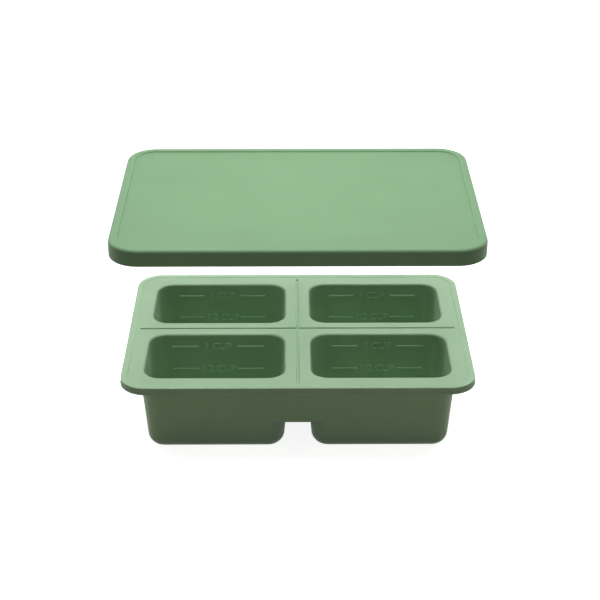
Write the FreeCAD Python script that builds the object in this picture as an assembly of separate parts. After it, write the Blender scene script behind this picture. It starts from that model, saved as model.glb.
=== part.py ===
# Freezer tray for baby food: four cups in one soft moulding, a steel loop
# inside its rim, and a lid that lifts straight off.
# Millimetres. +X is to the right along the long side, +Y is to the back, +Z is up.
# The origin is under the middle of the tray, on the surface it stands on.
import FreeCAD, Part
import math
import os

from FreeCAD import Placement, Rotation, Vector

os.makedirs("parts", exist_ok=True)

# Cups: sizes of one mouth, measured where its straight walls meet the deck
cups_across = 2
cups_deep = 2
mouth_length = 96.0
mouth_width = 60.5
mouth_corner = 12.0
mouth_gap = 18.0
cup_wall = 3.5
cup_floor = 3.0
draft_angle = 4.5
toe_round = 6.0
lip_round = 1.6

# Rim: the flange round the cups, with a raised bead along its edge
tray_height = 59.0
rim_margin = 15.5
rim_corner = 18.0
rim_thickness = 5.0
rim_round = 1.0
bead_width = 4.5
bead_height = 0.6
bead_slope = 1.2
parting_lip = 0.4
parting_lip_thickness = 0.7

# Webs that close the gap between two cups along the outside
web_depth = 36.5

# Grooves that cross on the deck
groove_width = 2.4
groove_depth = 1.0
groove_end_gap = 1.6

# Measuring lines: two levels on the back wall of each cup
line_depths = (9.5, 27.0)
line_length = 18.5
line_height = 1.2
line_proud = 0.5
word_gap = 28.0

# Steel loop in the rim
steel_diameter = 2.4
steel_inset = 4.4
steel_clearance = 0.1

# Lid
lid_lift = 100.0
lid_clearance = 0.4
lid_seat_gap = 0.3
lid_wall = 1.8
lid_panel = 2.0
lid_height = 11.5
lid_border_width = 6.0
lid_border_height = 1.0
lid_border_slope = 0.9
lid_round = 2.0
lid_rib_clearance = 0.3

# Worked out from the sizes above
slope = math.tan(math.radians(draft_angle))
pitch_x = mouth_length + mouth_gap
pitch_y = mouth_width + mouth_gap
mouths_length = cups_across * pitch_x - mouth_gap
mouths_width = cups_deep * pitch_y - mouth_gap
tray_length = mouths_length + 2 * rim_margin
tray_width = mouths_width + 2 * rim_margin
deck_z = tray_height - bead_height
rim_bottom = tray_height - rim_thickness
web_bottom = tray_height - web_depth
groove_length = tray_length - 2 * (bead_width + bead_slope + groove_end_gap)
groove_span = tray_width - 2 * (bead_width + bead_slope + groove_end_gap)


def centres(count, pitch):
    return [(i - (count - 1) / 2) * pitch for i in range(count)]


def gaps(count, pitch):
    return [(i - (count - 2) / 2) * pitch for i in range(count - 1)]


def rounded_outline(length, width, corner, z):
    x = length / 2
    y = width / 2
    near = corner * (1 - math.sqrt(0.5))
    stops = []
    for sx, sy in ((1, 1), (-1, 1), (-1, -1), (1, -1)):
        side = Vector(sx * x, sy * (y - corner), z)
        middle = Vector(sx * (x - near), sy * (y - near), z)
        end = Vector(sx * (x - corner), sy * y, z)
        if sx * sy > 0:
            stops.append((side, middle, end))
        else:
            stops.append((end, middle, side))
    edges = []
    for i, (first, middle, last) in enumerate(stops):
        edges.append(Part.Arc(first, middle, last).toShape())
        edges.append(Part.LineSegment(last, stops[(i + 1) % 4][0]).toShape())
    return Part.Wire(edges)


def plate(length, width, corner, low, high):
    outline = rounded_outline(length, width, corner, low)
    return Part.Face(outline).extrude(Vector(0, 0, high - low))


def tapered(length, width, corner, high, low, inset):
    top = rounded_outline(length, width, corner, high)
    bottom = rounded_outline(length - 2 * inset, width - 2 * inset, corner - inset, low)
    return Part.makeLoft([bottom, top], True, True)


def edges_at(shape, z):
    found = []
    for edge in shape.Edges:
        box = edge.BoundBox
        if abs(box.ZMin - z) < 1e-4 and abs(box.ZMax - z) < 1e-4:
            found.append(edge)
    return found


def cup_form(grow, floor_z):
    # The inside of a cup when grow is 0, and its outside when grow is the wall
    drop = (deck_z - floor_z) * slope
    corner = mouth_corner + grow
    form = tapered(mouth_length + 2 * grow, mouth_width + 2 * grow, corner, deck_z, floor_z, drop)
    toe = min(toe_round + grow, 0.95 * (corner - drop))
    return form.makeFillet(toe, edges_at(form, floor_z))


def webs():
    # A wall round all the cups, kept only where it bridges a gap
    drop = (deck_z - web_bottom) * slope
    length = mouths_length + 2 * cup_wall
    width = mouths_width + 2 * cup_wall
    outside = tapered(length, width, mouth_corner + cup_wall, deck_z, web_bottom, drop)
    inside = tapered(mouths_length, mouths_width, mouth_corner, deck_z, web_bottom, drop)
    ring = outside.cut(inside)
    reach = mouth_gap + 2 * mouth_corner
    keep = []
    for x in gaps(cups_across, pitch_x):
        keep.append(bar(reach, 2 * tray_width, deck_z - web_bottom, x, 0, web_bottom))
    for y in gaps(cups_deep, pitch_y):
        keep.append(bar(2 * tray_length, reach, deck_z - web_bottom, 0, y, web_bottom))
    return [ring.common(block) for block in keep]


def bar(length, width, height, x, y, z):
    # A block centred on x and y that stands on z
    return Part.makeBox(length, width, height, Vector(x - length / 2, y - width / 2, z))


def steel_loop(radius):
    # Four straight rods and four quarter rings along the rim
    corner = rim_corner - steel_inset
    half_x = tray_length / 2 - steel_inset
    half_y = tray_width / 2 - steel_inset
    z = (rim_bottom + deck_z) / 2
    run_x = 2 * (half_x - corner)
    run_y = 2 * (half_y - corner)
    pieces = []
    for side in (-1, 1):
        start = Vector(-run_x / 2, side * half_y, z)
        pieces.append(Part.makeCylinder(radius, run_x, start, Vector(1, 0, 0)))
        start = Vector(side * half_x, -run_y / 2, z)
        pieces.append(Part.makeCylinder(radius, run_y, start, Vector(0, 1, 0)))
    for turn, (sx, sy) in enumerate(((1, 1), (-1, 1), (-1, -1), (1, -1))):
        ring = Part.makeTorus(corner, radius, Vector(0, 0, 0), Vector(0, 0, 1), -180, 180, 90)
        place = Vector(sx * run_x / 2, sy * run_y / 2, z)
        ring.Placement = Placement(place, Rotation(Vector(0, 0, 1), 90 * turn))
        pieces.append(ring)
    return pieces[0].fuse(pieces[1:]).removeSplitter()


def measuring_lines():
    # A pair of raised lines at each level, with room for a word between them
    lines = []
    for x in centres(cups_across, pitch_x):
        for y in centres(cups_deep, pitch_y):
            for depth in line_depths:
                for side in (-1, 1):
                    line = bar(line_length, 2 * line_proud, line_height, 0, 0, 0)
                    middle = x + side * (word_gap + line_length) / 2
                    wall_y = y + mouth_width / 2 - depth * slope
                    place = Vector(middle, wall_y, deck_z - depth - line_height / 2)
                    line.Placement = Placement(place, Rotation(Vector(1, 0, 0), -draft_angle))
                    lines.append(line)
    return lines


def make_tray():
    rim = plate(tray_length, tray_width, rim_corner, rim_bottom, tray_height)
    rim = rim.makeFillet(rim_round, edges_at(rim, tray_height))
    lip = plate(
        tray_length + 2 * parting_lip,
        tray_width + 2 * parting_lip,
        rim_corner + parting_lip,
        rim_bottom,
        rim_bottom + parting_lip_thickness,
    )
    recess = tapered(
        tray_length - 2 * bead_width,
        tray_width - 2 * bead_width,
        rim_corner - bead_width,
        tray_height,
        deck_z,
        bead_slope,
    )
    outer_cup = cup_form(cup_wall, 0)
    inner_cup = cup_form(0, cup_floor)
    outsides = []
    hollows = []
    for x in centres(cups_across, pitch_x):
        for y in centres(cups_deep, pitch_y):
            outsides.append(outer_cup.translated(Vector(x, y, 0)))
            hollows.append(inner_cup.translated(Vector(x, y, 0)))
    body = rim.fuse([lip] + outsides + webs())
    body = body.cut([recess] + hollows).removeSplitter()
    mouths = [edge for edge in edges_at(body, deck_z) if inside_bead(edge)]
    body = body.makeFillet(lip_round, mouths)
    cuts = [bar(groove_width, groove_span, groove_depth, x, 0, deck_z - groove_depth)
            for x in gaps(cups_across, pitch_x)]
    cuts += [bar(groove_length, groove_width, groove_depth, 0, y, deck_z - groove_depth)
             for y in gaps(cups_deep, pitch_y)]
    cuts.append(steel_loop(steel_diameter / 2 + steel_clearance))
    body = body.fuse(measuring_lines())
    return body.cut(cuts).removeSplitter()


def inside_bead(edge):
    # True for an edge of a cup's mouth, false for the foot of the bead
    box = edge.BoundBox
    reach_x = max(abs(box.XMin), abs(box.XMax))
    reach_y = max(abs(box.YMin), abs(box.YMax))
    return reach_x < mouths_length / 2 + 0.01 and reach_y < mouths_width / 2 + 0.01


def make_lid():
    inner_grow = parting_lip + lid_clearance
    outer_grow = inner_grow + lid_wall
    seat_z = tray_height + lid_seat_gap
    panel_top = seat_z + lid_panel
    top = panel_top + lid_border_height
    bottom = top - lid_height
    length = tray_length + 2 * outer_grow
    width = tray_width + 2 * outer_grow
    corner = rim_corner + outer_grow
    shell = plate(length, width, corner, bottom, top)
    shell = shell.makeFillet(lid_round, edges_at(shell, top))
    hollow = plate(
        tray_length + 2 * inner_grow,
        tray_width + 2 * inner_grow,
        rim_corner + inner_grow,
        bottom,
        seat_z,
    )
    panel = tapered(
        length - 2 * lid_border_width,
        width - 2 * lid_border_width,
        corner - lid_border_width,
        top,
        panel_top,
        lid_border_slope,
    )
    lid = shell.cut([hollow, panel])
    rib_width = groove_width - 2 * lid_rib_clearance
    rib_bottom = deck_z - groove_depth + lid_rib_clearance
    rib_height = seat_z - rib_bottom
    shorter = 2 * lid_rib_clearance
    ribs = [bar(rib_width, groove_span - shorter, rib_height, x, 0, rib_bottom)
            for x in gaps(cups_across, pitch_x)]
    ribs += [bar(groove_length - shorter, rib_width, rib_height, 0, y, rib_bottom)
             for y in gaps(cups_deep, pitch_y)]
    lid = lid.fuse(ribs).removeSplitter()
    return lid.translated(Vector(0, 0, lid_lift))


parts = {
    "tray": make_tray(),
    "rim_frame": steel_loop(steel_diameter / 2),
    "lid": make_lid(),
}

for name, shape in parts.items():
    shape.exportStep(f"parts/{name}.step")
    box = shape.BoundBox
    volume = round(shape.Volume / 1000, 1)
    print(name, "solids", len(shape.Solids), "valid", shape.isValid(), "cm3", volume)
    print("  low", [round(v, 2) for v in (box.XMin, box.YMin, box.ZMin)])
    print("  high", [round(v, 2) for v in (box.XMax, box.YMax, box.ZMax)])

# What one cup holds up to each measuring line, in millilitres
for depth in line_depths:
    above = bar(2 * mouth_length, 2 * mouth_width, deck_z, 0, 0, deck_z - depth)
    held = cup_form(0, cup_floor).cut(above).Volume / 1000
    print("line", depth, "below the deck holds ml", round(held, 1))
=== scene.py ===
import math

import bmesh
import bpy
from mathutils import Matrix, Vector


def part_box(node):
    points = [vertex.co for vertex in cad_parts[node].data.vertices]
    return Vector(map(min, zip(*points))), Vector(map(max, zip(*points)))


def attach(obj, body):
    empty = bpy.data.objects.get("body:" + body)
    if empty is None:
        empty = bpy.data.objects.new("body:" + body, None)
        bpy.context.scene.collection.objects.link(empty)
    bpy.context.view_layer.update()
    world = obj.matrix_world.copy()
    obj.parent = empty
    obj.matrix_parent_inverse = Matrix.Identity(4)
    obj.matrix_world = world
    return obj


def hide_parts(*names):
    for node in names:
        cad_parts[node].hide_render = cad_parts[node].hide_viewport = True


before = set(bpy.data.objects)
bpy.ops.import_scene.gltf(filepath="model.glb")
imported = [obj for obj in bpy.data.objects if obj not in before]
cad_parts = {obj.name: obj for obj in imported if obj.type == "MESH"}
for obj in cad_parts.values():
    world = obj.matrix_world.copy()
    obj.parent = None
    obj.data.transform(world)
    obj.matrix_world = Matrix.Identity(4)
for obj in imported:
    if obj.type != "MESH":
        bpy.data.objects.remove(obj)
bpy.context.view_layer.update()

# Freezer tray for baby food: four cups in one soft moulding, and a lid that hovers above.
# Sizes in metres. +X is to the right along the tray, +Y is to the back, +Z is up.
mm = 0.001

# Places closer than a hair count as the same, and corners closer than the weld are joined.
# A face is level where its normal's z, up or down, is past level_enough
hair = 0.02 * mm
weld = 0.002 * mm
level_enough = 0.99

# The frame gives the overall sizes of the tray and the lid
tray_low, tray_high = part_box("tray")
lid_low, lid_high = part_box("lid")

# Tray: the sizes of the solids, but for the edge of the rim, the cups' roots and toes
# outside, and the walls of the grooves
parting_lip = 0.4 * mm
parting_lip_thickness = 0.7 * mm
rim_thickness = 5.0 * mm
rim_margin = 15.5 * mm
rim_corner = 18.0 * mm
rim_round = 0.6 * mm
bead_width = 4.5 * mm
bead_height = 0.6 * mm
bead_slope = 1.2 * mm
mouth_gap = 18.0 * mm
mouth_corner = 12.0 * mm
cup_wall = 3.5 * mm
cup_floor = 3.0 * mm
draft_angle = 4.5
toe_round = 6.0 * mm
under_toe_ease = 0.5 * mm
lip_round = 1.6 * mm
root_round = 1.2 * mm
web_depth = 36.5 * mm
web_overlap = 1 * mm
web_round = 1.0 * mm
groove_width = 2.4 * mm
groove_depth = 1.0 * mm
groove_round = 0.2 * mm
groove_lean = 0.25 * mm
groove_end = 7.3 * mm

# Measuring marks
line_depths = (9.5 * mm, 27.0 * mm)
line_length = 18.5 * mm
line_height = 1.2 * mm
line_proud = 0.5 * mm
line_sink = 0.3 * mm
line_round = 0.45 * mm
word_gap = 28.0 * mm
word_height = 5.2 * mm
type_per_capital = 1.38

# Lid
lid_wall = 1.8 * mm
lid_corner = 20.6 * mm
lid_round = 2.2 * mm
lid_inner_round = 1.0 * mm
lid_border = 6.0 * mm
lid_border_height = 1.0 * mm
lid_panel = 2.0 * mm
lid_rib_height = 1.6 * mm
lid_rib_width = 1.8 * mm
lid_rib_taper = 0.4 * mm
lid_rib_short = 0.6 * mm
lid_slope = 0.55 * mm
lid_hem = 0.5 * mm

# Number of faces round each curve
corner_faces = 14
mouth_faces = 10
rim_faces = 4
bead_faces = 6
groove_faces = 2
lip_faces = 6
toe_faces = 6
root_faces = 3
under_toe_faces = 7
web_faces = 4
line_faces = 4
letter_faces = 4
lid_edge_faces = 6
lid_step_faces = 6
lid_hem_faces = 3
lid_inner_faces = 4

# Edges with a smaller angle than this, in degrees, are shaded smooth
soft_angle = 35
soft_angle_marks = 50

# Worked out from the sizes above
slope = math.tan(math.radians(draft_angle))
tray_length = tray_high.x - tray_low.x - 2 * parting_lip
tray_width = tray_high.y - tray_low.y - 2 * parting_lip
tray_height = tray_high.z
deck_z = tray_height - bead_height
rim_bottom = tray_height - rim_thickness
web_bottom = tray_height - web_depth
mouth_length = (tray_length - 2 * rim_margin - mouth_gap) / 2
mouth_width = (tray_width - 2 * rim_margin - mouth_gap) / 2
pitch_x = mouth_length + mouth_gap
pitch_y = mouth_width + mouth_gap
groove_length = tray_length - 2 * groove_end
groove_span = tray_width - 2 * groove_end
cup_places = [(x * pitch_x / 2, y * pitch_y / 2) for x in (-1, 1) for y in (-1, 1)]

# Light, and a camera that was fitted to the outlines of the tray and the lid. Its lens
# and sensor are in millimetres, as Blender takes them
floor_size = 8
floor_lift = 0.88
world_fill = 0.105
camera_lens = 90.0
camera_sensor = 36.0
camera_clip = 0.05
camera_pitch = math.radians(27.558)
camera_yaw = math.radians(0.325)
camera_spot = Vector((-3.6 * mm, -947.0 * mm, tray_high.z + 516.4 * mm))


def deselect():
    if bpy.context.mode != "OBJECT":
        bpy.ops.object.mode_set(mode="OBJECT")
    bpy.ops.object.select_all(action="DESELECT")


def take(piece):
    # Makes a piece the only selected one, and the active one
    deselect()
    bpy.context.view_layer.objects.active = piece
    piece.select_set(True)


def apply_place():
    bpy.ops.object.transform_apply(location=True, rotation=True, scale=True)


def block(name, low, high):
    # A cube primitive made as large as the box from low to high, opened in edit mode
    deselect()
    low, high = Vector(low), Vector(high)
    bpy.ops.mesh.primitive_cube_add(size=1, location=(low + high) / 2)
    piece = bpy.context.object
    piece.name = name
    piece.data.name = name
    piece.scale = high - low
    apply_place()
    bpy.ops.object.mode_set(mode="EDIT")
    return piece


def pick(piece, kind, test):
    # Selects the faces, edges or corners of the open mesh that pass the test
    modes = {"faces": "FACE", "edges": "EDGE", "verts": "VERT"}
    bpy.ops.mesh.select_mode(type=modes[kind])
    bpy.ops.mesh.select_all(action="DESELECT")
    mesh = bmesh.from_edit_mesh(piece.data)
    for item in getattr(mesh, kind):
        item.select = test(item)
    mesh.select_flush_mode()
    bmesh.update_edit_mesh(piece.data)


def level(z):
    # Test for a level face at height z
    def test(face):
        flat = abs(face.normal.z) > level_enough
        return flat and abs(face.calc_center_median().z - z) < hair
    return test


def upright(edge):
    a, b = edge.verts
    return abs(a.co.x - b.co.x) < hair and abs(a.co.y - b.co.y) < hair


def at_height(z):
    return lambda edge: all(abs(v.co.z - z) < hair for v in edge.verts)


def steps_between(spots):
    return [(b[0] - a[0], b[1] - a[1]) for a, b in zip(spots, spots[1:])]


def over_edge(radius, count):
    # Steps (inwards, along) over a rounded edge: they start level and end upright
    angles = [math.pi / 2 * i / count for i in range(count + 1)]
    return steps_between([(radius * math.sin(a), radius * (1 - math.cos(a))) for a in angles])


def into_flat(radius, count):
    # The same quarter circle, from upright to level
    angles = [math.pi / 2 * i / count for i in range(count + 1)]
    return steps_between([(radius * (1 - math.cos(a)), radius * math.sin(a)) for a in angles])


def soft_step(width, height, count):
    # A gentle S from one level to another
    shares = [i / count for i in range(count + 1)]
    return steps_between([(width * t, height * t * t * (3 - 2 * t)) for t in shares])


def downwards(steps):
    return [(inward, -along) for inward, along in steps]


def follow(steps):
    # Insets the selected faces step by step: inwards by the first number, and along
    # the face's own normal by the second
    for inward, along in steps:
        bpy.ops.mesh.inset(thickness=inward, depth=along, use_even_offset=True)


def add_mouth(length, width, corner, spot):
    # Adds a level face with round corners to the open mesh
    bpy.ops.mesh.select_mode(type="VERT")
    bpy.ops.mesh.select_all(action="DESELECT")
    bpy.ops.mesh.primitive_plane_add(size=1, location=spot)
    bpy.ops.transform.resize(value=(length, width, 1), center_override=spot)
    bpy.ops.mesh.bevel(offset=corner, segments=mouth_faces, affect="VERTICES")


def add_cross(piece, length, span, width, z):
    # Adds a level plus sign to the open mesh: a square with four arms drawn out of it
    bpy.ops.mesh.select_mode(type="VERT")
    bpy.ops.mesh.select_all(action="DESELECT")
    bpy.ops.mesh.primitive_plane_add(size=width, location=(0, 0, z))
    half = width / 2
    for x, y, reach in ((1, 0, length), (-1, 0, length), (0, 1, span), (0, -1, span)):
        root = Vector((x * half, y * half, z))
        pick(piece, "edges", lambda e: ((e.verts[0].co + e.verts[1].co) / 2 - root).length < hair)
        draw = reach / 2 - half
        bpy.ops.mesh.extrude_region_move(TRANSFORM_OT_translate={"value": (x * draw, y * draw, 0)})


def on_cross(length, span, width, z):
    # Test for the faces of a plus sign at height z
    def test(face):
        if not level(z)(face):
            return False
        spot = face.calc_center_median()
        along_x = abs(spot.y) < width / 2 and abs(spot.x) < length / 2
        along_y = abs(spot.x) < width / 2 and abs(spot.y) < span / 2
        return along_x or along_y
    return test


def mouth_at(z, length, width):
    # Test for a cup's mouth at height z, whose round corners take little off its area
    most = 0.8 * length * width
    return lambda face: level(z)(face) and face.calc_area() > most


def fill_level(piece, z):
    # Fills the level between all the open outlines at height z
    flat = at_height(z)
    pick(piece, "edges", lambda edge: flat(edge) and len(edge.link_faces) == 1)
    bpy.ops.mesh.fill(use_beauty=True)


def open_level(piece, z):
    # Takes away the face at height z and leaves its outline open
    pick(piece, "faces", level(z))
    bpy.ops.mesh.delete(type="ONLY_FACE")


def point_outwards():
    bpy.ops.mesh.select_mode(type="VERT")
    bpy.ops.mesh.select_all(action="SELECT")
    bpy.ops.mesh.remove_doubles(threshold=weld)
    bpy.ops.mesh.normals_make_consistent(inside=False)


def finish_mesh(piece, angle=soft_angle):
    # Soft edges beside flats that stay flat
    take(piece)
    bpy.ops.object.mode_set(mode="EDIT")
    point_outwards()
    bpy.ops.object.mode_set(mode="OBJECT")
    bpy.ops.object.shade_smooth_by_angle(angle=math.radians(angle))
    flats = piece.modifiers.new("flat flats", "WEIGHTED_NORMAL")
    flats.keep_sharp = True
    bpy.ops.object.modifier_apply(modifier=flats.name)
    return piece


def unite(piece, others):
    # Joins closed meshes into one skin
    for other in others:
        take(piece)
        union = piece.modifiers.new("union", "BOOLEAN")
        union.operation = "UNION"
        union.solver = "EXACT"
        union.object = other
        bpy.ops.object.modifier_apply(modifier=union.name)
        bpy.data.objects.remove(other)


# Tray: from the parting lip up over the bead, down into the cups, and out beneath
def draw_in(z):
    # How far the drafted walls have come in at height z
    return (deck_z - z) * slope


def tray_top(piece):
    pick(piece, "faces", level(rim_bottom + parting_lip_thickness))
    side = rim_thickness - parting_lip_thickness - rim_round
    follow([(parting_lip, 0), (0, side)])
    follow(into_flat(rim_round, rim_faces))
    follow([(bead_width - rim_round - bead_slope / 2, 0)])
    follow(soft_step(bead_slope, -bead_height, bead_faces))
    open_level(piece, deck_z)
    length = mouth_length + 2 * lip_round
    width = mouth_width + 2 * lip_round
    for x, y in cup_places:
        add_mouth(length, width, mouth_corner + lip_round, (x, y, deck_z))
    add_cross(piece, groove_length, groove_span, groove_width, deck_z)
    fill_level(piece, deck_z)
    point_outwards()
    pick(piece, "faces", on_cross(groove_length, groove_span, groove_width, deck_z))
    follow(downwards(over_edge(groove_round, groove_faces)))
    follow([(groove_lean, 2 * groove_round - groove_depth)])
    follow(downwards(into_flat(groove_round, groove_faces)))
    pick(piece, "faces", mouth_at(deck_z, length, width))
    wall = deck_z - lip_round - cup_floor - toe_round
    follow(downwards(over_edge(lip_round, lip_faces)))
    follow([(wall * slope, -wall)])
    follow(downwards(into_flat(toe_round, toe_faces)))


def tray_under(piece):
    open_level(piece, rim_bottom)
    grow = cup_wall - draw_in(rim_bottom) + root_round
    length = mouth_length + 2 * grow
    width = mouth_width + 2 * grow
    for x, y in cup_places:
        add_mouth(length, width, mouth_corner + grow, (x, y, rim_bottom))
    fill_level(piece, rim_bottom)
    point_outwards()
    pick(piece, "faces", mouth_at(rim_bottom, length, width))
    toe = toe_round + cup_wall - under_toe_ease
    wall = rim_bottom - root_round - toe
    follow(over_edge(root_round, root_faces))
    follow([(wall * slope, wall)])
    follow(into_flat(toe, under_toe_faces))


def make_web(across, along_x, side):
    # A plate that carries the cups' outer wall across a gap. Its faces keep a hair or more
    # off those of the cups, so that none of them share a plane
    top = rim_bottom + web_overlap
    reach = mouth_gap / 2 + mouth_corner + web_overlap
    skin = across / 2 + cup_wall - hair
    outer_top, outer_bottom = skin - draw_in(top), skin - draw_in(web_bottom)
    thick = cup_wall - 5 * hair
    if along_x:
        low, high = (-reach, outer_top - thick, web_bottom), (reach, outer_top, top)
    else:
        low, high = (outer_top - thick, -reach, web_bottom), (outer_top, reach, top)
    web = block("web", low, high)
    pick(web, "verts", lambda v: v.co.z < web_bottom + hair)
    lean = outer_bottom - outer_top
    bpy.ops.transform.translate(value=(0, lean, 0) if along_x else (lean, 0, 0))
    pick(web, "edges", at_height(web_bottom))
    bpy.ops.mesh.bevel(offset=web_round, segments=web_faces)
    if side < 0:
        bpy.ops.mesh.select_all(action="SELECT")
        mirrored = (1, -1, 1) if along_x else (-1, 1, 1)
        bpy.ops.transform.resize(value=mirrored, center_override=(0, 0, 0))
        bpy.ops.mesh.normals_make_consistent(inside=False)
    return web


def make_tray():
    low = (tray_low.x, tray_low.y, rim_bottom)
    high = (tray_high.x, tray_high.y, rim_bottom + parting_lip_thickness)
    piece = block("silicone_tray", low, high)
    pick(piece, "edges", upright)
    bpy.ops.mesh.bevel(offset=rim_corner + parting_lip, segments=corner_faces)
    tray_top(piece)
    tray_under(piece)
    point_outwards()
    webs = []
    for side in (-1, 1):
        webs.append(make_web(2 * mouth_width + mouth_gap, True, side))
        webs.append(make_web(2 * mouth_length + mouth_gap, False, side))
    unite(piece, webs)
    return finish_mesh(piece)


# Measuring marks: two lines and a word at each level of each cup's back wall
def wall_spot(x, y, depth):
    return Vector((x, y + mouth_width / 2 - depth * slope, deck_z - depth))


def put_on_wall(piece, spot):
    take(piece)
    piece.rotation_euler = (math.pi / 2 - math.atan(slope), 0, 0)
    piece.location = spot
    apply_place()
    return piece


def make_line(spot):
    low = (-line_length / 2, -line_height / 2, -line_sink)
    high = (line_length / 2, line_height / 2, line_proud)
    line = block("line", low, high)
    pick(line, "edges", lambda e: all(v.co.z > 0 for v in e.verts))
    bpy.ops.mesh.bevel(offset=line_round, segments=line_faces)
    return put_on_wall(line, spot)


def make_word(words, spot):
    # The letters are drawn large, where their outlines fill cleanly, and then shrunk
    size = type_per_capital * word_height
    deselect()
    bpy.ops.object.text_add()
    word = bpy.context.object
    word.data.body = words
    word.data.align_x = "CENTER"
    word.data.align_y = "CENTER"
    word.data.extrude = line_proud / size
    word.data.resolution_u = letter_faces
    bpy.ops.object.convert(target="MESH")
    word = bpy.context.object
    word.scale = (size, size, size)
    apply_place()
    return put_on_wall(word, spot)


def make_marks():
    marks = []
    for x, y in cup_places:
        for words, depth in zip(("1 CUP", "1/2 CUP"), line_depths):
            marks.append(make_word(words, wall_spot(x, y, depth)))
            for side in (-1, 1):
                shift = side * (word_gap + line_length) / 2
                marks.append(make_line(wall_spot(x + shift, y, depth)))
    deselect()
    for mark in marks:
        mark.select_set(True)
    bpy.context.view_layer.objects.active = marks[0]
    bpy.ops.object.join()
    piece = bpy.context.object
    piece.name = piece.data.name = "measuring_marks"
    return finish_mesh(piece, soft_angle_marks)


# Lid: a skirt, a rounded edge, a raised border and a panel that lies a little lower, and
# beneath the panel a cross of ribs for the tray's grooves
def make_lid():
    low = (lid_low.x, lid_low.y, lid_low.z + lid_hem)
    high = (lid_high.x, lid_high.y, lid_high.z - lid_round)
    piece = block("silicone_lid", low, high)
    pick(piece, "edges", upright)
    bpy.ops.mesh.bevel(offset=lid_corner, segments=corner_faces)
    pick(piece, "faces", level(high[2]))
    follow(into_flat(lid_round, lid_edge_faces))
    follow([(lid_border - lid_round - lid_slope / 2, 0)])
    follow(soft_step(lid_slope, -lid_border_height, lid_step_faces))
    seat_z = lid_high.z - lid_border_height - lid_panel
    pick(piece, "faces", level(low[2]))
    follow(into_flat(lid_hem, lid_hem_faces))
    follow([(lid_wall - 2 * lid_hem, 0)])
    follow(downwards(over_edge(lid_hem, lid_hem_faces)))
    follow([(0, -(seat_z - lid_inner_round - low[2]))])
    follow(downwards(into_flat(lid_inner_round, lid_inner_faces)))
    open_level(piece, seat_z)
    reach = groove_length - lid_rib_short
    span = groove_span - lid_rib_short
    add_cross(piece, reach, span, lid_rib_width, seat_z)
    fill_level(piece, seat_z)
    point_outwards()
    pick(piece, "faces", on_cross(reach, span, lid_rib_width, seat_z))
    follow([(lid_rib_taper, lid_rib_height)])
    return finish_mesh(piece)


# Colours are written as sRGB hex and turned to linear in one place
def colour(code):
    shares = [int(code[i:i + 2], 16) / 255 for i in (1, 3, 5)]
    return [s / 12.92 if s <= 0.04045 else ((s + 0.055) / 1.055) ** 2.4 for s in shares] + [1]


# A Mix node has several sockets of the same name, so those for colours go by number
colour_a = 6
colour_b = 7
colour_out = 2


def add(tree, kind, inputs=None, **settings):
    # Adds a node. Inputs are values or other nodes' outputs, by socket name or number
    node = tree.nodes.new(kind)
    for name, value in settings.items():
        setattr(node, name, value)
    for name, value in (inputs or {}).items():
        if isinstance(value, bpy.types.NodeSocket):
            tree.links.new(value, node.inputs[name])
        else:
            node.inputs[name].default_value = value
    return node


def new_material(name):
    material = bpy.data.materials.new(name)
    material.use_nodes = True
    material.node_tree.nodes.clear()
    return material, material.node_tree


def moulded_silicone(name, pale, deep):
    # Platinum-cured silicone rubber from a fine-blasted steel mould: even colour, a soft
    # satin skin with a broad dull highlight, and a grain that is felt more than seen
    # Tone and gloss change slightly over some centimetres
    cloud_size = 45 * mm
    # Mould grain is about 0.1 mm, and is drawn at 0.4 mm so that the render can show it
    grain_size = 0.4 * mm
    grain_depth = 0.05 * mm
    material, tree = new_material(name)
    place = add(tree, "ShaderNodeTexCoord").outputs["Object"]
    cloud = add(tree, "ShaderNodeTexNoise", {
        "Vector": place,
        "Scale": 1 / cloud_size,
        "Detail": 3.0,
    }).outputs["Fac"]
    grain = add(tree, "ShaderNodeTexNoise", {
        "Vector": place,
        "Scale": 1 / grain_size,
        "Detail": 2.0,
    }).outputs["Fac"]
    blend = add(tree, "ShaderNodeMapRange", {"Value": cloud, "From Min": 0.3, "From Max": 0.7})
    tone = add(tree, "ShaderNodeMix", {
        "Factor": blend.outputs["Result"],
        colour_a: colour(deep),
        colour_b: colour(pale),
    }, data_type="RGBA")
    gloss = add(tree, "ShaderNodeMapRange", {"Value": cloud, "To Min": 0.44, "To Max": 0.54})
    skin = add(tree, "ShaderNodeBump", {
        "Height": grain,
        "Strength": 0.12,
        "Distance": grain_depth,
    })
    shader = add(tree, "ShaderNodeBsdfPrincipled", {
        "Base Color": tone.outputs[colour_out],
        "Roughness": gloss.outputs["Result"],
        "IOR": 1.41,
        "Sheen Weight": 0.03,
        "Sheen Roughness": 0.5,
        "Normal": skin.outputs["Normal"],
    })
    add(tree, "ShaderNodeOutputMaterial", {"Surface": shader.outputs["BSDF"]})
    return material


def drawn_steel(name):
    # Drawn stainless wire: a clean bright metal whose gloss changes slightly in patches
    patch_size = 0.8 * mm
    material, tree = new_material(name)
    place = add(tree, "ShaderNodeTexCoord").outputs["Object"]
    patches = add(tree, "ShaderNodeTexNoise", {
        "Vector": place,
        "Scale": 1 / patch_size,
        "Detail": 2.0,
    }).outputs["Fac"]
    gloss = add(tree, "ShaderNodeMapRange", {"Value": patches, "To Min": 0.22, "To Max": 0.38})
    shader = add(tree, "ShaderNodeBsdfPrincipled", {
        "Base Color": colour("#C9C8C4"),
        "Metallic": 1.0,
        "Roughness": gloss.outputs["Result"],
    })
    add(tree, "ShaderNodeOutputMaterial", {"Surface": shader.outputs["BSDF"]})
    return material


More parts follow.
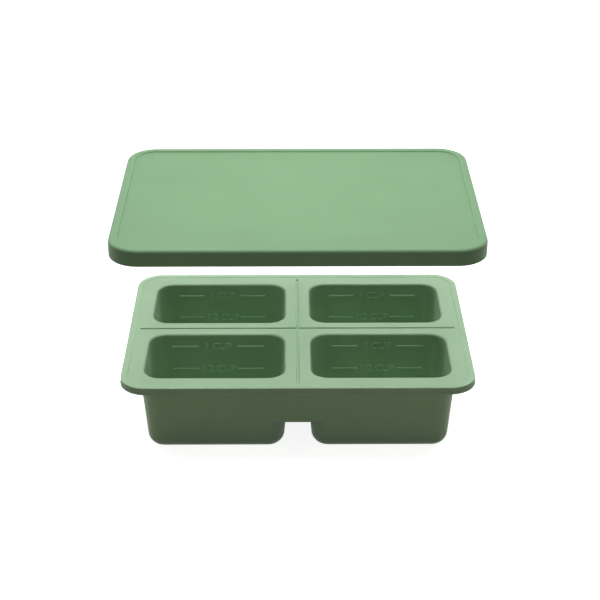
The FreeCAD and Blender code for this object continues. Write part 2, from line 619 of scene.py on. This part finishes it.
def background_rays(tree, path):
    # 1 for what the camera sees, also in a mirror or through glass, and 0 for light
    shown = path.outputs["Is Camera Ray"]
    for kind in ("Is Glossy Ray", "Is Transmission Ray"):
        inputs = {0: shown, 1: path.outputs[kind]}
        shown = add(tree, "ShaderNodeMath", inputs, operation="MAXIMUM").outputs["Value"]
    return shown


def studio_floor(name):
    # White paper sweep: the camera sees it white, with the object's shadow on it. The
    # light it throws back up is warm, and weaker than that of white paper
    material, tree = new_material(name)
    path = add(tree, "ShaderNodeLightPath")
    paper = add(tree, "ShaderNodeMix", {
        "Factor": path.outputs["Is Camera Ray"],
        colour_a: colour("#A09A86"),
        colour_b: colour("#F2F2F2"),
    }, data_type="RGBA")
    body = add(tree, "ShaderNodeBsdfDiffuse", {"Color": paper.outputs[colour_out]})
    shown = background_rays(tree, path)
    lift = add(tree, "ShaderNodeMath", {0: shown, 1: floor_lift}, operation="MULTIPLY")
    glow = add(tree, "ShaderNodeEmission", {"Strength": lift.outputs["Value"]})
    both = add(tree, "ShaderNodeAddShader", {
        0: body.outputs["BSDF"],
        1: glow.outputs["Emission"],
    })
    add(tree, "ShaderNodeOutputMaterial", {"Surface": both.outputs["Shader"]})
    return material


def set_material(piece, material):
    piece.data.materials.clear()
    piece.data.materials.append(material)


def area_lamp(name, azimuth, elevation, distance, size, power, aim, spread=180):
    # A soft box that faces the place it is aimed at. Angles are in degrees, and azimuth 0
    # is the camera's side and 90 the right
    deselect()
    turn, rise = math.radians(azimuth), math.radians(elevation)
    across = math.cos(rise)
    spot = Vector((math.sin(turn) * across, -math.cos(turn) * across, math.sin(rise)))
    bpy.ops.object.light_add(type="AREA", location=Vector(aim) + spot * distance)
    lamp = bpy.context.object
    lamp.name = name
    lamp.rotation_euler = spot.to_track_quat("Z", "Y").to_euler()
    lamp.data.shape = "RECTANGLE"
    lamp.data.size, lamp.data.size_y = size
    lamp.data.energy = power
    lamp.data.spread = math.radians(spread)
    lamp.visible_camera = False


def make_lamps():
    area_lamp("overhead", azimuth=180, elevation=86, distance=0.45,
              size=(0.45, 0.3), power=2.35, aim=(0, 0, lid_high.z))
    # These stand behind the tray, to its sides, and light the side walls of its cups
    for name, azimuth in (("left", -124), ("right", 124)):
        area_lamp(name, azimuth=azimuth, elevation=21, distance=2.0,
                  size=(0.8, 0.4), power=7, aim=(0, 0, tray_high.z))
    # The lid shades the tray from the overhead lamp, so this one lights it from the gap
    area_lamp("between", azimuth=180, elevation=79, distance=60 * mm,
              size=(0.3, 0.24), power=0.185, aim=(0, 0, deck_z), spread=45)


def make_world():
    world = bpy.data.worlds.new("studio")
    bpy.context.scene.world = world
    world.use_nodes = True
    tree = world.node_tree
    tree.nodes.clear()
    shown = background_rays(tree, add(tree, "ShaderNodeLightPath"))
    strength = add(tree, "ShaderNodeMapRange", {
        "Value": shown,
        "To Min": world_fill,
        "To Max": 1.0,
    })
    sky = add(tree, "ShaderNodeBackground", {
        "Color": colour("#FFFFFF"),
        "Strength": strength.outputs["Result"],
    })
    add(tree, "ShaderNodeOutputWorld", {"Surface": sky.outputs["Background"]})


def make_camera():
    deselect()
    bpy.ops.object.camera_add(location=camera_spot)
    camera = bpy.context.object
    camera.rotation_euler = (math.pi / 2 - camera_pitch, 0, -camera_yaw)
    camera.data.lens = camera_lens
    camera.data.sensor_width = camera_sensor
    camera.data.clip_start = camera_clip
    bpy.context.scene.camera = camera


tray = make_tray()
marks = make_marks()
lid = make_lid()

sage = moulded_silicone("sage silicone, tray", "#99B696", "#92B08F")
# The lid is drawn darker than the tray: partly its own slightly deeper tone, partly painted shade,
# as the lamps here light the hovering lid more than the tray
fern = moulded_silicone("sage silicone, lid", "#7DA57B", "#78A076")
# The raised strokes are the same silicone as the tray, drawn paler: a painted highlight for the
# light that their tops catch
pale = moulded_silicone("sage silicone, raised strokes, painted highlight", "#A8C6A6", "#A3C1A1")
steel = drawn_steel("drawn stainless wire")
set_material(tray, sage)
set_material(marks, pale)
set_material(lid, fern)
set_material(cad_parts["rim_frame"], steel)

pieces = (
    (tray, "tray", "tray_silicone"),
    (marks, "tray", "tray_silicone"),
    (lid, "lid", "lid_silicone"),
)
for piece, body, slot in pieces:
    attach(piece, body)
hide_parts("tray")
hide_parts("lid")

deselect()
bpy.ops.mesh.primitive_plane_add(size=floor_size)
floor = bpy.context.object
floor.name = "floor"
set_material(floor, studio_floor("white paper sweep"))

make_world()
make_lamps()
make_camera()

bpy.context.scene.view_settings.view_transform = "Standard"
